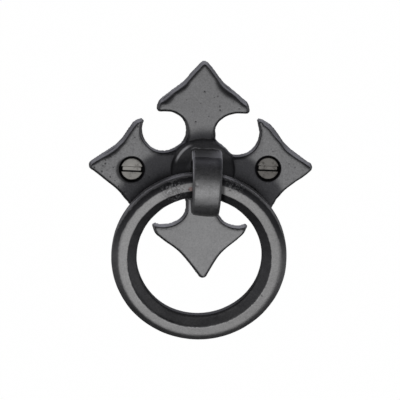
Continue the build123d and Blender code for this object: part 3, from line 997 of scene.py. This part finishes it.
def screwBody():
    face = screw["face"]
    profile = [(screw["crownRadius"], face - screw["crown"] * 0.8), (screw["flatRadius"], face)]
    profile += [(screw["headRadius"] - inwards, face + behind) for inwards, behind in screw["headEdge"]]
    profile += [
        (screw["neckRadius"], face + (screw["headRadius"] - screw["neckRadius"])),
        (screw["shankRadius"], 0.0),
        (screw["shankRadius"], screw["plainEnd"]),
        (screw["rootRadius"], screw["plainEnd"] + screw["rootTaper"]),
        (screw["rootRadius"], screw["pointStart"]),
        (screw["tipRadius"], screw["end"] - 0.02 * mm),
    ]
    firstRadius, firstDepth = profile[0]
    bpy.ops.object.select_all(action="DESELECT")
    bpy.ops.mesh.primitive_circle_add(vertices=screw["sides"], radius=firstRadius, rotation=(math.pi / 2, 0, 0))
    piece = bpy.context.active_object
    settle()
    bpy.ops.object.mode_set(mode="EDIT")
    bpy.ops.mesh.select_all(action="SELECT")
    bpy.ops.transform.translate(value=(0, firstDepth, 0))
    for (radius, depth), (nextRadius, nextDepth) in zip(profile[:-1], profile[1:]):
        bpy.ops.mesh.extrude_region_move(TRANSFORM_OT_translate={"value": (0, nextDepth - depth, 0)})
        scale = nextRadius / radius
        bpy.ops.transform.resize(value=(scale, 1, scale), center_override=(0, nextDepth, 0))
    bpy.ops.mesh.edge_face_add()
    bpy.ops.object.mode_set(mode="OBJECT")
    # the crown's ring of edges is still open
    for vertex in piece.data.vertices:
        vertex.select = abs(vertex.co.y - firstDepth) < hair
    for edge in piece.data.edges:
        edge.select = all(piece.data.vertices[end].select for end in edge.vertices)
    bpy.ops.object.mode_set(mode="EDIT")
    bpy.ops.mesh.edge_face_add()
    bpy.ops.mesh.select_all(action="SELECT")
    bpy.ops.mesh.normals_make_consistent(inside=False)
    bpy.ops.object.mode_set(mode="OBJECT")
    return piece


def screwThread():
    deep = screw["rootRadius"] - screw["ridgeUnderRoot"]
    crest = screw["shankRadius"]
    start = screw["plainEnd"] - 0.2 * mm
    crestStart, crestEnd, ridgeEnd = screw["ridge"]
    ridge = [(deep, start), (crest, start + crestStart), (crest, start + crestEnd), (deep, start + ridgeEnd)]
    bpy.ops.object.select_all(action="DESELECT")
    bpy.ops.mesh.primitive_circle_add(vertices=len(ridge), radius=1 * mm)
    piece = bpy.context.active_object
    for vertex, (radius, depth) in zip(piece.data.vertices, ridge):
        vertex.co = (radius, depth, 0)
    turns = int((screw["end"] - screw["plainEnd"]) / screw["pitch"])
    steps = screw["threadSteps"]
    applyModifier(
        piece, "SCREW", axis="Y", screw_offset=screw["pitch"], iterations=turns, steps=steps, render_steps=steps
    )
    # the thread narrows with the point, and runs in from nearly nothing behind the plain shank
    for vertex in piece.data.vertices:
        place = vertex.co
        keep = max(0.12, min(1.0, (screw["end"] + 0.35 * mm - place.y) / (screw["end"] - screw["pointStart"])))
        begin = 0.75 + 0.25 * ease(place.y, start, start + screw["ridgeRunIn"])
        if place.y > screw["end"] - 0.1 * mm:
            place.y = screw["end"] - 0.1 * mm
        place.x *= keep * begin
        place.z *= keep * begin
    bpy.ops.object.mode_set(mode="EDIT")
    bpy.ops.mesh.select_all(action="DESELECT")
    bpy.ops.mesh.select_mode(type="VERT")
    bpy.ops.mesh.select_non_manifold()
    bpy.ops.mesh.edge_face_add()
    bpy.ops.mesh.select_all(action="SELECT")
    bpy.ops.mesh.normals_make_consistent(inside=False)
    bpy.ops.object.mode_set(mode="OBJECT")
    return piece


def slotCutter():
    bpy.ops.object.select_all(action="DESELECT")
    bpy.ops.mesh.primitive_cube_add(size=1)
    cutter = bpy.context.active_object
    cutter.scale = (screw["slotLength"], 2 * screw["slotDepth"], screw["slotWidth"])
    cutter.rotation_euler = (0, math.radians(-screw["slotTurn"]), 0)
    cutter.location = (0, screw["face"], 0)
    settle()
    return cutter


def screwPieces():
    piece = screwBody()
    thread = screwThread()
    thread.select_set(True)
    piece.select_set(True)
    bpy.context.view_layer.objects.active = piece
    bpy.ops.object.join()
    remesh(piece, screw["voxel"])
    cutter = slotCutter()
    applyModifier(piece, "BOOLEAN", operation="DIFFERENCE", solver="EXACT", object=cutter)
    bpy.data.objects.remove(cutter)
    remesh(piece, screw["voxel"])
    soften(piece, lambda place: 1.0, 2)
    for side, label in ((-1, "left"), (1, "right")):
        copy = piece.copy()
        copy.data = piece.data.copy()
        copy.name = "screw_" + label + "_turned"
        bpy.context.scene.collection.objects.link(copy)
        copy.data.transform(Matrix.Translation((side * screwX, 0, 0)))
        finishPiece(copy, darkSteel, "plate", "screw_" + label)
    bpy.data.objects.remove(piece)


screwPieces()


# A pale studio: two round soft lamps close in front, a little below the view, and a room that is dark in
# front, grey to the sides and pale high behind. Each lamp: radius, distance, azimuth, elevation, glow. The
# ramps are on the parts of the direction that one looks in.
studio = {
    "lamps": {
        "wideLamp": (300 * mm, 300 * mm, 1.0, -20.0, 0.62),
        "nearLamp": (110 * mm, 280 * mm, 1.0, -18.0, 0.7),
    },
    "aim": (0, -8 * mm, -6 * mm),
    "dark": (0.08, 0.08, 0.084, 1),
    "backdrop": (0.8, 0.8, 0.88, 1),
    "backdropBehind": (0.05, 0.35),
    "backdropHeight": (0.15, 0.5),
    "flanks": (0.34, 0.34, 0.35, 1),
    "flanksAside": (0.5, 0.75),
    "flanksBottom": (-0.75, -0.5),
    "flanksTop": (0.5, 0.2),
    "flanksLeast": 0.8,
    "flanksForward": (0.35, 0.6, 0.2),
    "white": (1, 1, 1, 1),
    "floor": (0.9, 0.9, 0.9, 1),
    "floorRoughness": 0.8,
    "floorShown": 0.996,                     # how much of the plain white the camera sees on the floor
    "floorHeight": -120 * mm,
    "floorSize": 6.0,
}


def studioLamps():
    for name, (radius, distance, azimuth, elevation, glow) in studio["lamps"].items():
        data = bpy.data.lights.new(name, "AREA")
        data.shape = "DISK"
        data.size = 2 * radius
        data.energy = glow * math.pi * math.pi * radius * radius
        lamp = bpy.data.objects.new(name, data)
        bpy.context.scene.collection.objects.link(lamp)
        away = directionFrom(azimuth, elevation)
        lamp.location = Vector(studio["aim"]) + away * distance
        lamp.rotation_euler = away.to_track_quat("Z", "Y").to_euler()
        lamp.visible_camera = False


def studioWorld():
    world = bpy.data.worlds.new("studio")
    bpy.context.scene.world = world
    world.use_nodes = True
    tree = world.node_tree
    start = Wire(tree)
    direction = start.make("ShaderNodeTexCoord", {}, {}, "Generated")
    across = direction.part("X")
    depth = direction.part("Y")
    height = direction.part("Z")
    behind = depth.ramp(*studio["backdropBehind"]) * height.ramp(*studio["backdropHeight"])
    flanks = abs(across).ramp(*studio["flanksAside"]) * height.ramp(*studio["flanksBottom"])
    flanks = flanks * height.ramp(*studio["flanksTop"])
    flanks = flanks * (studio["flanksLeast"] + abs(depth).ramp(*studio["flanksForward"]))
    colour = flanks.blend(studio["dark"], studio["flanks"])
    colour = behind.blend(colour, studio["backdrop"])
    seen = start.make("ShaderNodeLightPath", {}, {}, "Is Camera Ray")
    seen.blend(colour, studio["white"]).feed(tree.nodes["Background"].inputs["Color"])


def studioFloor():
    bpy.ops.object.select_all(action="DESELECT")
    bpy.ops.mesh.primitive_plane_add(size=studio["floorSize"], location=(0, 0, studio["floorHeight"]))
    floor = bpy.context.active_object
    floor.name = "floor"
    settle()
    material, shader, place = newMaterial("paleFloor")
    shader.inputs["Base Color"].default_value = studio["floor"]
    shader.inputs["Roughness"].default_value = studio["floorRoughness"]
    glow = place.make("ShaderNodeEmission", {}, {"Color": studio["white"], "Strength": 1.0})
    seen = place.make("ShaderNodeLightPath", {}, {}, "Is Camera Ray")
    plain = Wire(place.tree, shader.outputs["BSDF"])
    mixed = place.make("ShaderNodeMixShader", {}, {0: seen * studio["floorShown"], 1: plain, 2: glow})
    mixed.feed(material.node_tree.nodes["Material Output"].inputs["Surface"])
    floor.data.materials.append(material)
    floor.visible_glossy = False


studioLamps()
studioWorld()
studioFloor()
bpy.context.scene.view_settings.view_transform = "Standard"
print("studio ready")
